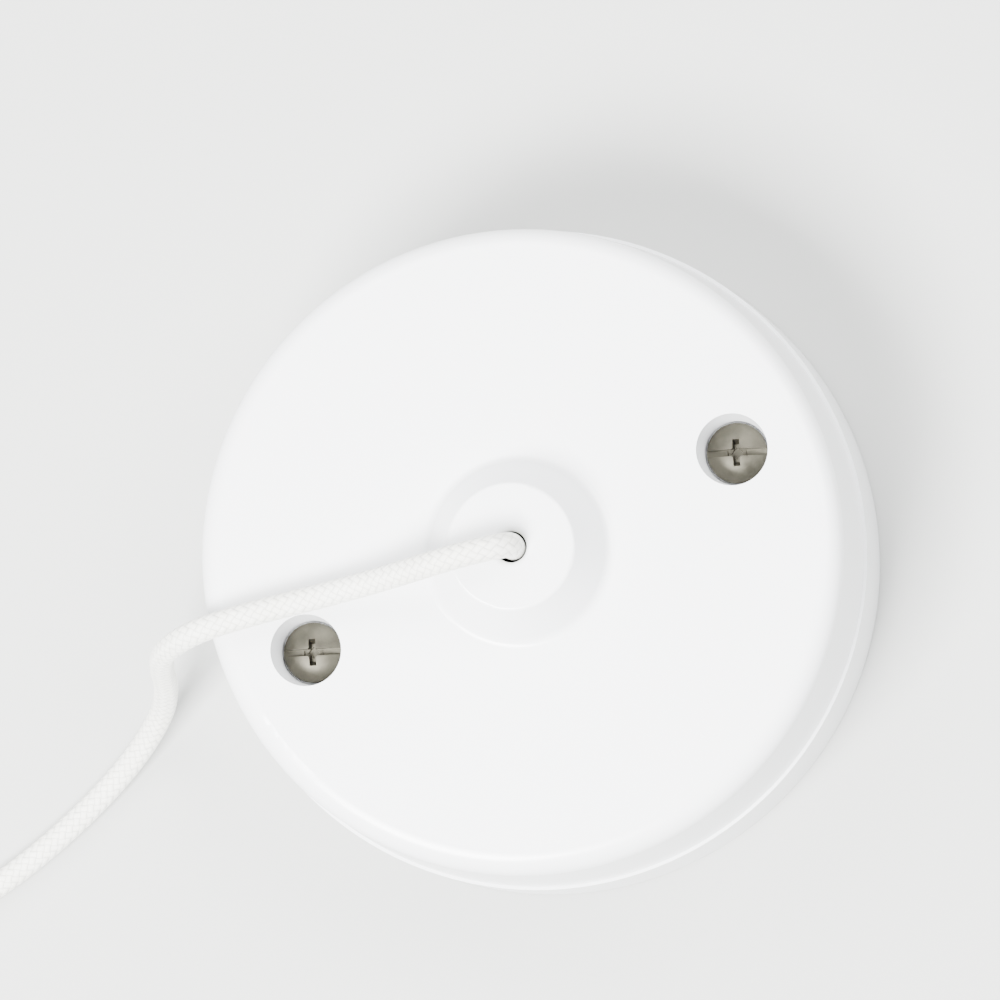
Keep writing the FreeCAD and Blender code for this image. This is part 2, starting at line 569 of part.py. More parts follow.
def make_cord_coil():
    """The outer shape of the put-away coil, and the tie round it."""
    low, high = "coil_z", "coil_z + coil_height"
    inner, outer = "coil_radius - coil_half_width", "coil_radius + coil_half_width"
    coil = turned("Coil", [(inner, low), (outer, low), (outer, high), (inner, high)])
    round_ring(coil, "CoilRound", [(ring, z) for ring in (inner, outer) for z in (low, high)],
               "cord_radius")
    subpart("cord_coil", place(coil, COIL_CENTRE[0], COIL_CENTRE[1], 0))
    reach = "(coil_half_width + tie_gap)"
    near = "%s + coil_radius - %s" % (COIL_CENTRE[0], reach)
    far = "%s + coil_radius + %s" % (COIL_CENTRE[0], reach)
    middle = COIL_CENTRE[1]
    band = box((near + " - tie_thickness", far + " + tie_thickness"),
               ("%s - tie_width / 2" % middle, "%s + tie_width / 2" % middle),
               (0, high + " + 0.1 + tie_thickness"))
    inside = box((near, far), ("%s - tie_width" % middle, "%s + tie_width" % middle),
                 ("tie_thickness", high + " + 0.1"))
    subpart("coil_tie", cut(band, inside))


def make_knob():
    """A bell-shaped knob, hollow for the cord's end knot, lying on its side."""
    knob = turned("Knob", [
        ("cord_radius + 0.2", 0), ("knob_neck", 0), ("knob_neck + 0.5", "knob_length * 0.18"),
        ("knob_radius - 1.2", "knob_length * 0.55"), ("knob_radius", "knob_length * 0.84"),
        ("knob_radius", "knob_length * 0.93"), ("knob_radius - 1.2", "knob_length"),
        ("knot_radius + 1", "knob_length"), ("knot_radius + 0.4", "knob_length * 0.5"),
        ("cord_radius + 0.2", "knob_length * 0.5")])
    lean = math.degrees(math.asin((size("knob_radius") - size("knob_neck")) / (size("knob_length") * 0.84)))
    heading = FreeCAD.Rotation(Vector(0, 0, 1), KNOB_HEADING)
    turn = heading.multiply(FreeCAD.Rotation(Vector(0, 1, 0), 90 - lean))
    mouth = Vector(KNOB_MOUTH[0], KNOB_MOUTH[1], size("knob_neck") * math.cos(math.radians(lean)) + 0.15)
    knob.Placement = FreeCAD.Placement(mouth, turn)
    subpart("pull_knob", knob)
    inside = FreeCAD.Placement(mouth, turn)
    stub = Part.makeCylinder(size("cord_radius"), size("knob_length * 0.5"))
    feature("cord_end", stub, inside)
    knot = Part.makeSphere(size("knot_radius"), Vector(0, 0, size("knob_length * 0.5 + knot_radius")))
    feature("cord_knot_outer", knot, inside)


# ---- build ----------------------------------------------------------------------------------------

def fill_sheet():
    rows = [(name, str(value)) for name, value in DRIVING.items()]
    rows += [(name, "=" + text) for name, text in DERIVED.items()]
    for row, (name, content) in enumerate(rows, 1):
        sheet.set("A%d" % row, name)
        sheet.set("B%d" % row, content)
        sheet.setAlias("B%d" % row, name)
    doc.recompute()


def check_and_write():
    doc.recompute()
    for thing in doc.Objects:
        if "Invalid" in thing.State or "Error" in thing.State:
            raise RuntimeError("%s (%s) failed: %s" % (thing.Name, thing.Label, thing.State))
    for thing in SUBPARTS:
        if thing.Shape.isNull() or not thing.Shape.isValid():
            raise RuntimeError("%s has no valid shape" % thing.Label)
    os.makedirs("parts", exist_ok=True)
    for thing in SUBPARTS:
        thing.Shape.exportStep("parts/%s.step" % thing.Label)
        print("%-22s solids %d  volume %.1f" % (thing.Label, len(thing.Shape.Solids), thing.Shape.Volume))


fill_sheet()
make_base_plate()
make_cover()
make_cover_screws()
make_switch_body()
make_switch_body_lid()
make_body_screws()
make_pull_slider()
make_drive_pawl()
make_ratchet_cam()
make_shafts()
make_backstop()
make_terminals()
make_contact_arm()
make_fixed_contacts()
make_springs()
make_inner_cord()
cord_tube("pull_cord", CORD_ROUTE)
cord_tube("cord_tail", TAIL_ROUTE)
make_cord_coil()
make_knob()
check_and_write()
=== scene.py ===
import json
import math

import bmesh
import bpy
from mathutils import Matrix, Vector


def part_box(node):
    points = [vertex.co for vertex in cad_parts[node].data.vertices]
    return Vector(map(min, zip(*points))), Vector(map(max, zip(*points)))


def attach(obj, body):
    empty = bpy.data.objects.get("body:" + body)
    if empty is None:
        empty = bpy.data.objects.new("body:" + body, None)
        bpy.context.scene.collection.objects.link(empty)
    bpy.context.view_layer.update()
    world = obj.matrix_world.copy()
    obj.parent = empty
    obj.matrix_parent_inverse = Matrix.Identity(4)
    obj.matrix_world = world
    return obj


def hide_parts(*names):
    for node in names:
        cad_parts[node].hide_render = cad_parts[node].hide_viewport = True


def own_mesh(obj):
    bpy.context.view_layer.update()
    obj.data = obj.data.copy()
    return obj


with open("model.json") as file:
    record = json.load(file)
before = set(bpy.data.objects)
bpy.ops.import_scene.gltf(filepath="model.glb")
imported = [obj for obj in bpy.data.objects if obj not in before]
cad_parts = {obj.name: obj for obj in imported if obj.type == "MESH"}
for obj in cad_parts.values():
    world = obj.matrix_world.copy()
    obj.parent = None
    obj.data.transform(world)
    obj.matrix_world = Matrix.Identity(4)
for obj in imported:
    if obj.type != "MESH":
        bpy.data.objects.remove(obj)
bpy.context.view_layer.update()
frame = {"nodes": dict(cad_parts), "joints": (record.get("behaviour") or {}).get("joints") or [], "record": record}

bl_info = {
    "name": "Pull Cord Switch",
    "version": (1, 0, 0),
    "blender": (4, 5, 0),
    "location": "View3D > Sidebar > Pull Cord Switch",
    "description": "Builds a round ceiling pull cord switch around its packed frame",
    "category": "Object",
}

NODES = frame["nodes"]

# ---- places read from the frame ---------------------------------------------------------------

COVER_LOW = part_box("cover")[0]
SCREW_LOW, SCREW_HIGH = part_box("cover_screws")
INNER_LOW, INNER_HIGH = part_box("cord_inner")
COIL_LOW, COIL_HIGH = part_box("cord_coil")
TIE_LOW, TIE_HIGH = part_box("coil_tie")
CORD_RADIUS = (INNER_HIGH.x - INNER_LOW.x) / 2

# ---- sizes of the details, in metres unless it says otherwise ---------------------------------------

HEAD_HEIGHT = 0.0021
HEAD_DOME = 0.0009        # how far the head's edge lies below its middle
SLOT_TURN = -22           # degrees from the switch's X axis
SHANK_RADIUS = 0.0017
THREAD_PITCH = 0.0006
THREAD_DEPTH = 0.16       # share of the shank's radius
CONTACT_LIFT = 0.35       # travel of the contact spring's end, as a share of the cord's stroke
PAINTED_SHADE_REACH = 0.009      # how near a facing wall has to be for a surface to get painted shade

# The cord's route in metres: up from the slider, out of the boss, folded over it, across the face,
# down the side and along the surface. The coil's turns are added by a loop, and the tail runs from
# them to the knob.
ROUTE_TO_COIL = [
    (0.0, 0.0, INNER_LOW.z), (0.0, 0.0, 0.0300), (0.0, 0.0, 0.0370),
    (0.0002, 0.0, 0.0400), (0.0002, 0.0, 0.0425), (-0.0015, 0.0003, 0.0444), (-0.0041, 0.0008, 0.0450),
    (-0.0082, 0.0016, 0.0443), (-0.0132, 0.0026, 0.0412), (-0.0190, 0.0038, 0.0379),
    (-0.0265, 0.0053, 0.0367), (-0.0350, 0.0069, 0.0370), (-0.0420, 0.0079, 0.0362),
    (-0.0472, 0.0080, 0.0310), (-0.0496, 0.0073, 0.0234), (-0.0512, 0.0059, 0.0144),
    (-0.0546, 0.0035, 0.0064), (-0.0624, -0.0004, 0.0020), (-0.0730, -0.0044, 0.0018),
    (-0.0840, -0.0072, 0.0021), (-0.0950, -0.0084, 0.0022), (-0.1055, -0.0084, 0.0022),
]
ROUTE_TO_KNOB = [
    (-0.1338, 0.0116, 0.0118), (-0.1343, 0.0216, 0.0098), (-0.1326, 0.0306, 0.0056),
    (-0.1282, 0.0376, 0.0024), (-0.1212, 0.0417, 0.0024), (-0.1145, 0.0435, 0.0035),
]
KNOB_MOUTH = Vector(ROUTE_TO_KNOB[-1])
KNOB_AXIS = (KNOB_MOUTH - Vector(ROUTE_TO_KNOB[-2])).normalized()

TURN_POINTS = 14
TURNS = 11
COLUMNS = 3

# ---- the camera's place ---------------------------------------------------------------------------

LEAN_RIGHT, LEAN_UP = 0.146, -0.075    # tilt of the view from straight down, as slopes
AIM_RIGHT, AIM_UP = -0.0049, 0.0077    # the picture's middle from the switch's axis
FACE_ABOVE_AIM = 0.018                 # the face over the cover's lower edge


# ---- settings a user would change -----------------------------------------------------------

class PullCordSwitchPlastic(bpy.types.PropertyGroup):
    shell_colour: bpy.props.FloatVectorProperty(
        name="Shell colour", description="Colour of the moulded cover, base and knob",
        subtype="COLOR", size=4, min=0, max=1, default=(0.85, 0.88, 0.91, 1))
    shell_roughness: bpy.props.FloatProperty(
        name="Shell roughness", description="Mean roughness of the white moulding",
        subtype="FACTOR", min=0.05, max=1, default=0.36)
    grain_size: bpy.props.FloatProperty(
        name="Grain size", description="Size of the mould's fine surface grain",
        unit="LENGTH", min=0.0001, max=0.01, default=0.0006)


class PullCordSwitchCord(bpy.types.PropertyGroup):
    colour: bpy.props.FloatVectorProperty(
        name="Cord colour", description="Colour of the braided cord",
        subtype="COLOR", size=4, min=0, max=1, default=(0.88, 0.875, 0.81, 1))
    carriers: bpy.props.IntProperty(
        name="Carriers", description="Strands of the braid in each direction", min=3, max=16, default=8)
    braid_pitch: bpy.props.FloatProperty(
        name="Braid pitch", description="Length of cord in which a strand goes round once",
        unit="LENGTH", min=0.002, max=0.04, default=0.0105)
    braid_relief: bpy.props.FloatProperty(
        name="Braid relief", description="Height of the strands over the gaps between them",
        unit="LENGTH", min=0, max=0.0005, default=0.00015)


class PullCordSwitchStage(bpy.types.PropertyGroup):
    camera_distance: bpy.props.FloatProperty(
        name="Camera distance", description="From the switch's face to the camera",
        unit="LENGTH", min=0.2, max=5, default=0.9)
    view_width: bpy.props.FloatProperty(
        name="View width", description="Width that the camera takes in at the switch's face",
        unit="LENGTH", min=0.05, max=1, default=0.1273)
    heading: bpy.props.FloatProperty(
        name="Heading", description="Turn of the picture's upward edge from the switch's +Y",
        subtype="ANGLE", default=math.radians(24.6))
    floor_colour: bpy.props.FloatVectorProperty(
        name="Floor colour", description="Colour of the plain floor", subtype="COLOR", size=4,
        min=0, max=1, default=(0.50, 0.505, 0.49, 1))
    key_power: bpy.props.FloatProperty(
        name="Key light", description="Power of the main soft light", unit="POWER", min=0, default=56)


# ---- materials --------------------------------------------------------------------------------

class Finish:
    """A procedural material being wired: nodes are added by type, with their sockets' values."""

    def __init__(self, name, **shader):
        self.material = bpy.data.materials.new(name)
        self.material.use_nodes = True
        self.tree = self.material.node_tree
        self.shader = self.tree.nodes["Principled BSDF"]
        for socket, value in shader.items():
            self.shader.inputs[socket.replace("_", " ")].default_value = value

    def add(self, kind, values=None, **settings):
        node = self.tree.nodes.new(kind)
        for name, value in settings.items():
            setattr(node, name, value)
        for socket, value in (values or {}).items():
            node.inputs[socket].default_value = value
        return node

    def link(self, source, socket, target, target_socket):
        self.tree.links.new(source.outputs[socket], target.inputs[target_socket])

    def place(self, turn=(0, 0, 0), scale=(1, 1, 1)):
        """Object coordinates, turned and scaled."""
        coordinates = self.add("ShaderNodeTexCoord")
        mapping = self.add("ShaderNodeMapping", {"Rotation": turn, "Scale": scale})
        self.link(coordinates, "Object", mapping, "Vector")
        return mapping

    def noise(self, where, scale, detail=3.0, roughness=0.55):
        """A noise pattern read at the given place node."""
        pattern = self.add("ShaderNodeTexNoise",
                           {"Scale": scale, "Detail": detail, "Roughness": roughness})
        self.link(where, "Vector", pattern, "Vector")
        return pattern

    def ramp(self, source, socket, low, high, start=0.0, end=1.0):
        """Spread a pattern between two colours."""
        ramp = self.add("ShaderNodeValToRGB")
        first, last = ramp.color_ramp.elements
        first.position, last.position = start, end
        first.color, last.color = low, high
        self.link(source, socket, ramp, "Fac")
        return ramp

    def span(self, source, socket, low, high, start=0.3, end=0.7):
        """Spread a pattern between two numbers."""
        span = self.add("ShaderNodeMapRange", {
            "From Min": start, "From Max": end, "To Min": low, "To Max": high})
        self.link(source, socket, span, "Value")
        return span

    def math(self, operation, *operands):
        """A sum of numbers and (node, socket) pairs; gives a pair."""
        node = self.add("ShaderNodeMath", operation=operation)
        for slot, operand in enumerate(operands):
            if isinstance(operand, tuple):
                self.tree.links.new(operand[0].outputs[operand[1]], node.inputs[slot])
            else:
                node.inputs[slot].default_value = operand
        return node, "Value"

    def multiply(self, first, second):
        """One colour node's pattern darkened by another's."""
        mix = self.add("ShaderNodeVectorMath", operation="MULTIPLY")
        self.tree.links.new(first.outputs[0], mix.inputs[0])
        self.tree.links.new(second.outputs[0], mix.inputs[1])
        return mix

    def colour(self, node, socket="Color"):
        self.link(node, socket, self.shader, "Base Color")

    def roughness(self, node, socket="Result"):
        self.link(node, socket, self.shader, "Roughness")

    def bump(self, *layers):
        """Stack bumps; each layer is (node, socket, height in metres, strength)."""
        below = None
        for node, socket, height, strength in layers:
            bump = self.add("ShaderNodeBump", {"Strength": strength, "Distance": height})
            self.link(node, socket, bump, "Height")
            if below:
                self.link(below, "Normal", bump, "Normal")
            below = bump
        self.link(below, "Normal", self.shader, "Normal")


def shade(colour, factor):
    return tuple(min(1, channel * factor) for channel in colour[:3]) + (1,)


def moulded_plastic(name, colour, roughness, grain_size):
    """Moulded plastic: flow mottle, mould grain, dust specks, painted shade in recesses and uneven gloss."""
    finish = Finish(name, IOR=1.49, Specular_IOR_Level=0.5, Subsurface_Weight=0.06,
                    Subsurface_Scale=0.0015, Coat_Weight=0.08, Coat_Roughness=0.25)
    finish.shader.inputs["Subsurface Radius"].default_value = (1.0, 0.95, 0.9)
    where = finish.place()
    flow = finish.noise(where, 45, 4)
    grain = finish.noise(where, 1 / grain_size, 2)
    dust = finish.noise(where, 900, 5, 0.7)
    scuffs = finish.noise(finish.place(turn=(0.3, 0.2, 0.7), scale=(1, 14, 1)), 60, 3)
    mottle = finish.ramp(flow, "Fac", shade(colour, 0.965), shade(colour, 1.02), 0.3, 0.7)
    specks = finish.ramp(dust, "Fac", (1, 1, 1, 1), (0.93, 0.93, 0.91, 1), 0.66, 0.78)
    # painted shade: ambient occlusion darkens the colour down to 20 % where walls close by would shade the surface
    depth = finish.add("ShaderNodeAmbientOcclusion", {"Distance": PAINTED_SHADE_REACH}, samples=8)
    painted_hollow_shade = finish.ramp(depth, "AO", (0.2, 0.21, 0.21, 1), (1, 1, 1, 1), 0.15, 0.8)
    finish.colour(finish.multiply(finish.multiply(mottle, specks), painted_hollow_shade), "Vector")
    finish.roughness(finish.span(scuffs, "Fac", roughness - 0.05, roughness + 0.08))
    finish.bump((grain, "Fac", 0.00003, 0.25), (flow, "Fac", 0.0002, 0.12))
    return finish.material


def metal(name, colour, roughness, tarnish=0.8):
    """Drawn or rolled metal: a directional brush, tarnish clouds and small pits."""
    finish = Finish(name, Metallic=1.0)
    brushed = finish.noise(finish.place(scale=(1, 1, 40)), 900, 3, 0.6)
    clouds = finish.noise(finish.place(), 260, 4, 0.6)
    pits = finish.noise(finish.place(), 2600, 2)
    finish.colour(finish.ramp(clouds, "Fac", shade(colour, tarnish), colour, 0.35, 0.65))
    finish.roughness(finish.span(brushed, "Fac", roughness - 0.08, roughness + 0.14))
    finish.bump((brushed, "Fac", 0.00002, 0.35), (pits, "Fac", 0.00001, 0.3))
    return finish.material


def braided_fibre(settings):
    """The cord's yarn: strands that pass over and under each other with painted shade in the gaps between them,
    fine fibres and a soft sheen.
    """
    finish = Finish("cord_braid", Sheen_Weight=0.3, Sheen_Roughness=0.5, Specular_IOR_Level=0.3)
    colour = tuple(settings.colour)
    cord_map = finish.add("ShaderNodeUVMap", uv_map="CordMap")
    parts = finish.add("ShaderNodeSeparateXYZ")
    finish.link(cord_map, "UV", parts, "Vector")
    around = finish.math("MULTIPLY", (parts, "X"), settings.carriers)
    along = finish.math("MULTIPLY", (parts, "Y"), settings.carriers / settings.braid_pitch)
    right = finish.math("ADD", around, along)
    left = finish.math("SUBTRACT", around, along)
    ridges = []
    for strand in (right, left):
        wave = finish.math("SINE", finish.math("MULTIPLY", strand, math.pi))
        ridges.append(finish.math("POWER", finish.math("ABSOLUTE", wave), 0.6))
    cells = finish.math("ADD", finish.math("FLOOR", right), finish.math("FLOOR", left))
    over = finish.math("PINGPONG", cells, 1)
    height = finish.math("ADD", finish.math("MULTIPLY", over, ridges[0]),
                         finish.math("MULTIPLY", finish.math("SUBTRACT", 1, over), ridges[1]))
    stretch = finish.add("ShaderNodeMapping", {"Scale": (40, 1500, 1)})
    finish.link(cord_map, "UV", stretch, "Vector")
    fibres = finish.noise(stretch, 1, 3, 0.6)
    # painted shade: the colour falls to 78 % in the gaps between strands
    yarn = finish.ramp(height[0], height[1], shade(colour, 0.78), colour, 0.1, 0.8)
    worn = finish.ramp(finish.noise(finish.place(), 180, 3), "Fac", (0.95, 0.95, 0.93, 1), (1, 1, 1, 1),
                       0.3, 0.6)
    finish.colour(finish.multiply(yarn, worn), "Vector")
    finish.roughness(finish.span(fibres, "Fac", 0.7, 0.9))
    finish.bump((height[0], height[1], settings.braid_relief, 0.8), (fibres, "Fac", 0.00004, 0.5))
    return finish.material


def knotted_fibre(settings):
    """The same yarn where it is knotted: twisted bundles with painted shade in the creases between them."""
    finish = Finish("cord_knotted", Sheen_Weight=0.3, Sheen_Roughness=0.5, Specular_IOR_Level=0.3)
    colour = tuple(settings.colour)
    bundles = finish.add("ShaderNodeTexVoronoi", {"Scale": 900.0}, feature="SMOOTH_F1")
    finish.link(finish.place(turn=(0.5, 0.4, 0.8), scale=(1, 1, 0.4)), "Vector", bundles, "Vector")
    fibres = finish.noise(finish.place(scale=(1, 1, 0.2)), 6000, 3)
    # painted shade: the colour falls to 70 % towards the creases between bundles
    finish.colour(finish.ramp(bundles, "Distance", colour, shade(colour, 0.7), 0.2, 0.7))
    finish.roughness(finish.span(fibres, "Fac", 0.7, 0.9))
    finish.bump((bundles, "Distance", -0.0002, 0.6), (fibres, "Fac", 0.00004, 0.5))
    return finish.material


def screw_metal():
    """Passivated steel, dull and slightly green-grey, with clouds and a fine grain."""
    finish = Finish("screw_metal", Metallic=0.9)
    colour = (0.078, 0.073, 0.056, 1)
    clouds = finish.noise(finish.place(), 500, 4, 0.6)
    fine = finish.noise(finish.place(), 3000, 2)
    finish.colour(finish.ramp(clouds, "Fac", shade(colour, 0.75), shade(colour, 1.25), 0.3, 0.7))
    finish.roughness(finish.span(clouds, "Fac", 0.34, 0.55))
    finish.bump((clouds, "Fac", 0.00004, 0.3), (fine, "Fac", 0.00001, 0.3))
    return finish.material


def paper_floor(settings):
    """A plain pale surface with a fine tooth."""
    finish = Finish("plain_floor", Specular_IOR_Level=0.3)
    colour = tuple(settings.floor_colour)
    tooth = finish.noise(finish.place(), 700, 3)
    clouds = finish.noise(finish.place(), 9, 2)
    finish.colour(finish.ramp(clouds, "Fac", shade(colour, 0.985), shade(colour, 1.01), 0.3, 0.7))
    finish.roughness(finish.span(tooth, "Fac", 0.6, 0.75))
    finish.bump((tooth, "Fac", 0.00005, 0.3))
    return finish.material


# ---- modelling helpers --------------------------------------------------------------------------

def deselect_all():
    bpy.ops.object.select_all(action="DESELECT")


def make_active(piece):
    deselect_all()
    piece.select_set(True)
    bpy.context.view_layer.objects.active = piece


def apply_place(piece):
    make_active(piece)
    bpy.ops.object.transform_apply(location=True, rotation=True, scale=True)


def finish_piece(piece, name, material, body, replaced=(), smooth=35):
    """Name a piece, give it its finish and its body, and put its place in its mesh."""
    apply_place(piece)
    piece.name = name
    piece.data.name = name
    piece.data.materials.clear()
    piece.data.materials.append(material)
    bpy.ops.object.shade_smooth_by_angle(angle=math.radians(smooth))
    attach(piece, body)
    if replaced:
        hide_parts(*replaced)


def merged_copy(node, name):
    """A copy of a CAD node's mesh with its doubled points merged."""
    piece = bpy.data.objects.new(name, NODES[node].data.copy())
    bpy.context.scene.collection.objects.link(piece)
    make_active(piece)
    bpy.ops.object.mode_set(mode="EDIT")
    bpy.ops.mesh.select_all(action="SELECT")
    bpy.ops.mesh.remove_doubles(threshold=0.000001)
    bpy.ops.object.mode_set(mode="OBJECT")
    return piece


def select_where(piece, test):
    """In edit mode, select the faces whose centre and normal pass a test."""
    bpy.ops.mesh.select_mode(type="FACE")
    bpy.ops.mesh.select_all(action="DESELECT")
    shape = bmesh.from_edit_mesh(piece.data)
    for face in shape.faces:
        face.select_set(test(face.calc_center_median(), face.normal))
    bmesh.update_edit_mesh(piece.data)


def add_modifier(piece, kind, **settings):
    """Add a modifier, set it and apply it."""
    make_active(piece)
    modifier = piece.modifiers.new(kind.title(), kind)
    for name, value in settings.items():
        setattr(modifier, name, value)
    bpy.ops.object.modifier_apply(modifier=modifier.name)


# ---- cord ---------------------------------------------------------------------------------------

def coil_turns():
    """The put-away turns: rows of turns side by side, one row on the other, wound clockwise."""
    centre = (COIL_LOW + COIL_HIGH) / 2
    outer = (COIL_HIGH.x - COIL_LOW.x) / 2 - CORD_RADIUS
    low = COIL_LOW.z + CORD_RADIUS
    # a smooth line through the points of a circle runs a little inside them
    widen = 1 / (0.75 + 0.25 * math.cos(2 * math.pi / TURN_POINTS))
    points = []
    for step in range(1, int(TURNS * TURN_POINTS + TURN_POINTS / 4) + 1):
        turn = step / TURN_POINTS
        row, within = divmod(turn, COLUMNS)
        shift = min(within, COLUMNS - 1)
        inward = shift if row % 2 == 0 else COLUMNS - 1 - shift
        climb = row + max(0, within - (COLUMNS - 1))
        radius = (outer - inward * 2 * CORD_RADIUS) * widen
        angle = -math.pi / 2 - turn * 2 * math.pi
        points.append((centre.x + radius * math.cos(angle), centre.y + radius * math.sin(angle),
                       low + min(climb, 3) * 2 * CORD_RADIUS))
    return points


def smooth_line(points, name):
    """The points that a NURBS line takes, 0.25 mm or so apart."""
    curve = bpy.data.curves.new(name, "CURVE")
    curve.dimensions = "3D"
    curve.resolution_u = 24
    spline = curve.splines.new("NURBS")
    spline.points.add(len(points) - 1)
    for point, place in zip(spline.points, points):
        point.co = (*place, 1)
    spline.order_u = 3
    spline.use_endpoint_u = True
    holder = bpy.data.objects.new(name, curve)
    bpy.context.scene.collection.objects.link(holder)
    bpy.context.view_layer.update()
    mesh = bpy.data.meshes.new_from_object(holder.evaluated_get(bpy.context.evaluated_depsgraph_get()))
    line = [vertex.co.copy() for vertex in mesh.vertices]
    bpy.data.objects.remove(holder)
    bpy.data.meshes.remove(mesh)
    return line


def even_points(line, spacing):
    """Points at an even spacing along a line."""
    lengths = [0.0]
    for before, after in zip(line, line[1:]):
        lengths.append(lengths[-1] + (after - before).length)
    count = max(2, round(lengths[-1] / spacing))
    evened = []
    piece = 0
    for number in range(count + 1):
        goal = lengths[-1] * number / count
        while piece < len(line) - 2 and lengths[piece + 1] < goal:
            piece += 1
        stretch = lengths[piece + 1] - lengths[piece] or 1
        evened.append(line[piece].lerp(line[piece + 1], (goal - lengths[piece]) / stretch))
    return evened, lengths[-1]


def braided_tube(name, points, around=24, spacing=0.0007):
    """A closed tube along points; its UV map counts turns round it and metres along it."""
    centres, length = even_points(points, spacing)
    side = Vector((0.12, 1, 0)).normalized()
    corners, faces, maps = [], [], []
    rings = len(centres)
    for number, centre in enumerate(centres):
        ahead = (centres[min(number + 1, rings - 1)] - centres[max(number - 1, 0)]).normalized()
        side = (side - ahead * side.dot(ahead)).normalized()
        across = ahead.cross(side)
        for step in range(around):
            angle = 2 * math.pi * step / around
            corners.append(centre + (side * math.cos(angle) + across * math.sin(angle)) * CORD_RADIUS)
    for ring in range(rings - 1):
        for step in range(around):
            after = (step + 1) % around
            first, second = ring * around, (ring + 1) * around
            faces.append((first + step, first + after, second + after, second + step))
            maps.append([(step, ring), (step + 1, ring), (step + 1, ring + 1), (step, ring + 1)])
    for ring, order in ((0, -1), (rings - 1, 1)):
        faces.append(tuple(ring * around + step for step in range(around))[::order])
        maps.append([(step, ring) for step in range(around)][::order])
    mesh = bpy.data.meshes.new(name)
    mesh.from_pydata(corners, [], faces)
    spots = iter(mesh.uv_layers.new(name="CordMap").data)
    for face in maps:
        for step, ring in face:
            next(spots).uv = (step / around, length * ring / (rings - 1))
    mesh.polygons.foreach_set("use_smooth", [True] * len(mesh.polygons))
    piece = bpy.data.objects.new(name, mesh)
    bpy.context.scene.collection.objects.link(piece)
    return piece


# ---- operators ------------------------------------------------------------------------------------

class OBJECT_OT_switch_shell(bpy.types.Operator):
    """Make the white plastic for the moulded cover and base plate"""
    bl_idname = "object.switch_shell"
    bl_label = "Moulded Shell"

    def execute(self, context):
        settings = context.scene.switch_plastic
        moulded_plastic("white_plastic", tuple(settings.shell_colour),
                        settings.shell_roughness, settings.grain_size)
        return {"FINISHED"}


class OBJECT_OT_switch_knob(bpy.types.Operator):
    """Turn the bell-shaped knob: spun from its outline, with a rolled rim and a hollow end"""
    bl_idname = "object.switch_knob"
    bl_label = "Pull Knob"

    def execute(self, context):
        white = bpy.data.materials["white_plastic"]
        outline = [
            (0.0019, 0.0), (0.0030, 0.0), (0.0034, 0.0005), (0.00345, 0.0025), (0.0038, 0.0058),
            (0.0045, 0.0098), (0.0054, 0.0138), (0.0062, 0.0178), (0.00675, 0.0215),
            (0.00695, 0.0240), (0.0068, 0.0257), (0.0062, 0.0268), (0.0054, 0.0269),
            (0.0047, 0.0263), (0.0039, 0.0230), (0.0031, 0.0185), (0.0027, 0.0137), (0.0019, 0.0135),
        ]
        deselect_all()
        bpy.ops.mesh.primitive_circle_add(vertices=len(outline), radius=0.001)
        knob = context.active_object
        for vertex, (radius, height) in zip(knob.data.vertices, outline):
            vertex.co = (radius, 0, height)
        bpy.ops.object.mode_set(mode="EDIT")
        bpy.ops.mesh.select_all(action="SELECT")
        bpy.ops.mesh.spin(steps=48, angle=2 * math.pi, center=(0, 0, 0), axis=(0, 0, 1))
        bpy.ops.mesh.select_all(action="SELECT")
        bpy.ops.mesh.remove_doubles(threshold=0.000002)
        bpy.ops.mesh.normals_make_consistent(inside=False)
        bpy.ops.object.mode_set(mode="OBJECT")
        add_modifier(knob, "SUBSURF", levels=1, render_levels=1)
        turn = Vector((0, 0, 1)).rotation_difference(KNOB_AXIS).to_matrix().to_4x4()
        knob.matrix_world = Matrix.Translation(KNOB_MOUTH) @ turn
        finish_piece(knob, "pull_knob_turned", white, "pull", ["pull_knob"], 50)
        return {"FINISHED"}


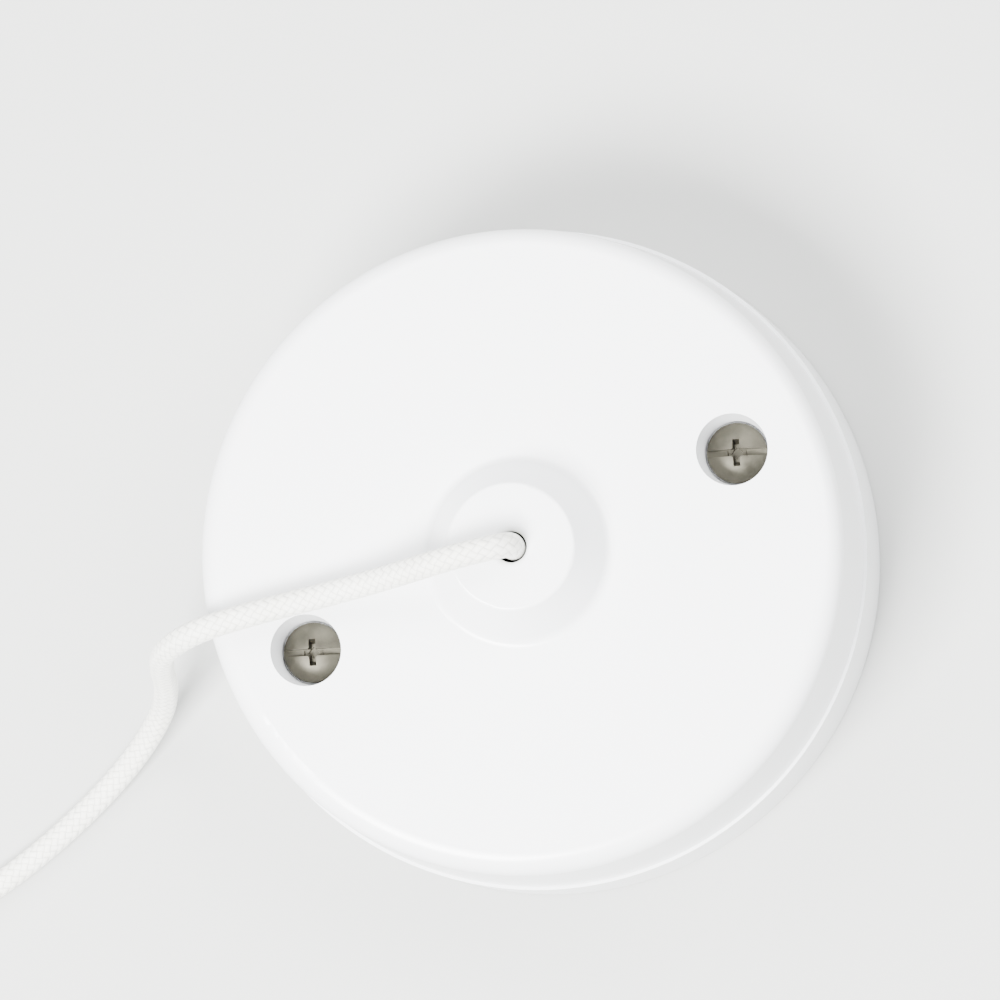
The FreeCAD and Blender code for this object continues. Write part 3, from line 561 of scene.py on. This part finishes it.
class OBJECT_OT_switch_screws(bpy.types.Operator):
    """Model the two cover screws: a domed head with a slot and a tapered cross, and a threaded shank"""
    bl_idname = "object.switch_screws"
    bl_label = "Cover Screws"

    def execute(self, context):
        radius = (SCREW_HIGH.y - SCREW_LOW.y) / 2
        middle = SCREW_HIGH.x - radius
        head_low = SCREW_HIGH.z - HEAD_HEIGHT
        deselect_all()
        bpy.ops.mesh.primitive_cylinder_add(vertices=64, radius=radius, depth=HEAD_HEIGHT,
                                            location=(0, 0, HEAD_HEIGHT / 2))
        head = context.active_object
        apply_place(head)
        bpy.ops.object.mode_set(mode="EDIT")
        select_where(head, lambda centre, normal: normal.z > 0.9)
        for ring in range(6):
            bpy.ops.mesh.inset(thickness=radius / 8, depth=0)
        bpy.ops.object.mode_set(mode="OBJECT")
        for vertex in head.data.vertices:
            if vertex.co.z > HEAD_HEIGHT / 2:
                reach = math.hypot(vertex.co.x, vertex.co.y) / radius
                vertex.co.z -= HEAD_DOME * reach ** 2.2
        add_modifier(head, "BEVEL", width=0.0002, segments=3, angle_limit=math.radians(40))
        # the slot right across, the deeper cross and its pilot, as (half length, half width, depth)
        for turn, length, width, depth in ((0, 0.0045, 0.00042, 0.0012), (0, 0.0019, 0.00048, 0.0014),
                                           (90, 0.0019, 0.00048, 0.0014), (45, 0.0008, 0.0008, 0.0017)):
            bpy.ops.mesh.primitive_cube_add(size=2)
            cutter = context.active_object
            taper = 0.6 if length < 0.002 else 1
            for vertex in cutter.data.vertices:
                top = vertex.co.z > 0
                vertex.co.x *= length * (1 if top else taper)
                vertex.co.y *= width * (1 if top else taper)
                vertex.co.z = HEAD_HEIGHT + 0.0002 if top else HEAD_HEIGHT - depth
            cutter.rotation_euler = (0, 0, math.radians(turn + SLOT_TURN))
            add_modifier(head, "BOOLEAN", operation="DIFFERENCE", object=cutter, solver="EXACT")
            bpy.data.objects.remove(cutter)
        shank = self.threaded_shank(context, head_low - SCREW_LOW.z)
        make_active(head)
        shank.select_set(True)
        bpy.ops.object.join()
        screw = context.active_object
        screw.location = (middle, 0, head_low)
        apply_place(screw)
        bpy.ops.object.duplicate()
        twin = context.active_object
        bpy.ops.transform.rotate(value=math.pi, orient_axis="Z", center_override=(0, 0, 0))
        apply_place(twin)
        make_active(screw)
        twin.select_set(True)
        bpy.ops.object.join()
        finish_piece(screw, "cover_screws_turned", screw_metal(), "housing",
                     ["cover_screws"], 40)
        return {"FINISHED"}

    def threaded_shank(self, context, length):
        """A shank below z = 0 whose rings rise and fall as an M3.5 thread does."""
        rings = int(length / (THREAD_PITCH / 4))
        deselect_all()
        bpy.ops.mesh.primitive_cylinder_add(vertices=24, radius=SHANK_RADIUS, depth=length,
                                            location=(0, 0, -length / 2 + 0.0001))
        shank = context.active_object
        apply_place(shank)
        bpy.ops.object.mode_set(mode="EDIT")
        for ring in range(1, rings):
            bpy.ops.mesh.select_all(action="SELECT")
            bpy.ops.mesh.bisect(plane_co=(0, 0, -length * ring / rings), plane_no=(0, 0, 1))
        bpy.ops.object.mode_set(mode="OBJECT")
        for vertex in shank.data.vertices:
            angle = math.atan2(vertex.co.y, vertex.co.x) / (2 * math.pi)
            wave = 0.5 + 0.5 * math.cos(2 * math.pi * (vertex.co.z / THREAD_PITCH - angle))
            factor = 1 - THREAD_DEPTH * wave
            vertex.co.x *= factor
            vertex.co.y *= factor
        return shank


class OBJECT_OT_switch_coil_tie(bpy.types.Operator):
    """Wrap a flat plastic tie round the coil"""
    bl_idname = "object.switch_coil_tie"
    bl_label = "Coil Tie"

    def execute(self, context):
        tie_white = moulded_plastic("tie_plastic", (0.80, 0.81, 0.82, 1), 0.45, 0.0004)
        middle = (TIE_LOW + TIE_HIGH) / 2
        size = TIE_HIGH - TIE_LOW
        deselect_all()
        bpy.ops.mesh.primitive_cube_add(size=1, location=middle)
        band = context.active_object
        band.scale = (size.x, size.y, size.z)
        apply_place(band)
        bpy.ops.object.mode_set(mode="EDIT")
        select_where(band, lambda centre, normal: abs(normal.y) > 0.9)
        bpy.ops.mesh.delete(type="FACE")
        bpy.ops.object.mode_set(mode="OBJECT")
        add_modifier(band, "BEVEL", width=0.0028, segments=6, limit_method="NONE")
        bpy.ops.object.mode_set(mode="EDIT")
        bpy.ops.mesh.select_all(action="SELECT")
        bpy.ops.mesh.normals_make_consistent(inside=False)
        bpy.ops.object.mode_set(mode="OBJECT")
        add_modifier(band, "SOLIDIFY", thickness=0.0004, offset=-1)
        add_modifier(band, "BEVEL", width=0.0001, segments=2, angle_limit=math.radians(50))
        finish_piece(band, "coil_tie_band", tie_white, "pull", ["coil_tie"], 40)
        return {"FINISHED"}


class OBJECT_OT_switch_cord(bpy.types.Operator):
    """Lay the braided cord from the slider, out of the boss and through its coil to the knob"""
    bl_idname = "object.switch_cord"
    bl_label = "Braided Cord"

    def execute(self, context):
        settings = context.scene.switch_cord
        material = braided_fibre(settings)
        route = ROUTE_TO_COIL + coil_turns() + ROUTE_TO_KNOB[1:]
        line = smooth_line(route, "cord_line")
        cord = braided_tube("braided_cord", line)
        cord.data.materials.append(material)
        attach(cord, "pull")
        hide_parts("cord_inner", "pull_cord", "cord_coil", "cord_tail")
        return {"FINISHED"}


class OBJECT_OT_switch_springs(bpy.types.Operator):
    """Replace each spring with a merged copy in spring steel, carried by the housing"""
    bl_idname = "object.switch_springs"
    bl_label = "Springs"

    def execute(self, context):
        steel = metal("spring_steel", (0.52, 0.53, 0.54, 1), 0.3)
        stroke = frame["joints"][0]["range_m"][1]
        for node, joint, travel in (("return_spring", "cord_pull", stroke),
                                    ("contact_spring", "contact_swing", stroke * CONTACT_LIFT)):
            spring = merged_copy(node, node + "_wire")
            finish_piece(spring, node + "_wire", steel, "housing", [node], 60)
            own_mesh(spring)
        return {"FINISHED"}


class OBJECT_OT_switch_inner_pieces(bpy.types.Operator):
    """Give every piece carried over from the frame its finish"""
    bl_idname = "object.switch_inner_pieces"
    bl_label = "Carried-over Finishes"

    def execute(self, context):
        finishes = {
            "inner_plastic": moulded_plastic("inner_plastic", (0.74, 0.73, 0.69, 1), 0.5, 0.0005),
            "slider_plastic": moulded_plastic("slider_plastic", (0.66, 0.68, 0.65, 1), 0.42, 0.0004),
            "brass": metal("brass", (0.72, 0.52, 0.22, 1), 0.3, tarnish=0.7),
            "contact_metal": metal("contact_metal", (0.82, 0.81, 0.79, 1), 0.22),
            "spring_steel": bpy.data.materials["spring_steel"],
            "screw_metal": bpy.data.materials["screw_metal"],
            "cord_braid": knotted_fibre(context.scene.switch_cord),
            "white_plastic": bpy.data.materials["white_plastic"],
            "tie_plastic": bpy.data.materials["tie_plastic"],
        }
        for entry in frame["record"]["subparts"]:
            data = NODES[entry["node"]].data
            data.materials.clear()
            data.materials.append(finishes[entry["material_slot"]])
        return {"FINISHED"}


class SCENE_OT_switch_stage(bpy.types.Operator):
    """Set the plain floor, the soft lights and the camera"""
    bl_idname = "scene.switch_stage"
    bl_label = "Stage"

    def execute(self, context):
        settings = context.scene.switch_stage
        deselect_all()
        bpy.ops.mesh.primitive_plane_add(size=4, location=(0, 0, -0.0002))
        floor = context.active_object
        floor.name = "plain_floor"
        floor.data.materials.append(paper_floor(settings))
        self.place_camera(context, settings)
        self.place_lights(context, settings)
        return {"FINISHED"}

    def place_camera(self, context, settings):
        """Look nearly straight down on the face, a little from its right and from below its middle."""
        up = Vector((math.sin(settings.heading), math.cos(settings.heading), 0))
        right = Vector((math.cos(settings.heading), -math.sin(settings.heading), 0))
        towards = (Vector((0, 0, 1)) + right * LEAN_RIGHT + up * LEAN_UP).normalized()
        right = up.cross(towards).normalized()
        up = towards.cross(right)
        aim = Vector((0, 0, COVER_LOW.z)) + right * AIM_RIGHT + up * AIM_UP
        camera = bpy.data.cameras.new("camera")
        camera.sensor_width = 36
        camera.lens = 36 * settings.camera_distance / settings.view_width
        camera.clip_end = 20
        holder = bpy.data.objects.new("camera", camera)
        context.scene.collection.objects.link(holder)
        turn = Matrix((right, up, towards)).transposed().to_4x4()
        away = settings.camera_distance + FACE_ABOVE_AIM
        holder.matrix_world = Matrix.Translation(aim + towards * away) @ turn
        context.scene.camera = holder

    def place_lights(self, context, settings):
        """A key light high on the left, two weaker fills and a pale world."""
        world = bpy.data.worlds.new("studio")
        context.scene.world = world
        world.use_nodes = True
        background = world.node_tree.nodes["Background"]
        background.inputs["Color"].default_value = (0.93, 0.96, 1.0, 1)
        background.inputs["Strength"].default_value = 1.0
        for name, place, size, power in (
                ("key", (-0.42, -0.27, 0.85), 0.4, settings.key_power),
                ("fill", (0.6, 0.1, 0.8), 0.6, settings.key_power * 0.3),
                ("top", (0.0, 0.6, 0.9), 0.6, settings.key_power * 0.25)):
            light = bpy.data.lights.new(name, "AREA")
            light.energy = power
            light.size = size
            holder = bpy.data.objects.new(name, light)
            context.scene.collection.objects.link(holder)
            aim = Vector((0, 0, 0.02)) - Vector(place)
            turn = aim.to_track_quat("-Z", "Y").to_matrix().to_4x4()
            holder.matrix_world = Matrix.Translation(place) @ turn


OPERATORS = (
    OBJECT_OT_switch_shell,
    OBJECT_OT_switch_knob,
    OBJECT_OT_switch_screws,
    OBJECT_OT_switch_coil_tie,
    OBJECT_OT_switch_cord,
    OBJECT_OT_switch_springs,
    OBJECT_OT_switch_inner_pieces,
    SCENE_OT_switch_stage,
)


class VIEW3D_PT_switch(bpy.types.Panel):
    bl_label = "Pull Cord Switch"
    bl_space_type = "VIEW_3D"
    bl_region_type = "UI"
    bl_category = "Pull Cord Switch"

    def draw(self, context):
        for group in ("switch_plastic", "switch_cord", "switch_stage"):
            settings = getattr(context.scene, group)
            for name in settings.bl_rna.properties.keys():
                if name not in ("rna_type", "name"):
                    self.layout.prop(settings, name)
        for operator in OPERATORS:
            self.layout.operator(operator.bl_idname)


CLASSES = (PullCordSwitchPlastic, PullCordSwitchCord, PullCordSwitchStage, *OPERATORS, VIEW3D_PT_switch)


def register():
    for item in CLASSES:
        bpy.utils.register_class(item)
    bpy.types.Scene.switch_plastic = bpy.props.PointerProperty(type=PullCordSwitchPlastic)
    bpy.types.Scene.switch_cord = bpy.props.PointerProperty(type=PullCordSwitchCord)
    bpy.types.Scene.switch_stage = bpy.props.PointerProperty(type=PullCordSwitchStage)


def unregister():
    del bpy.types.Scene.switch_stage
    del bpy.types.Scene.switch_cord
    del bpy.types.Scene.switch_plastic
    for item in reversed(CLASSES):
        bpy.utils.unregister_class(item)


def main():
    register()
    for operator in OPERATORS:
        group, name = operator.bl_idname.split(".")
        getattr(getattr(bpy.ops, group), name)()


if __name__ == "__main__":
    main()
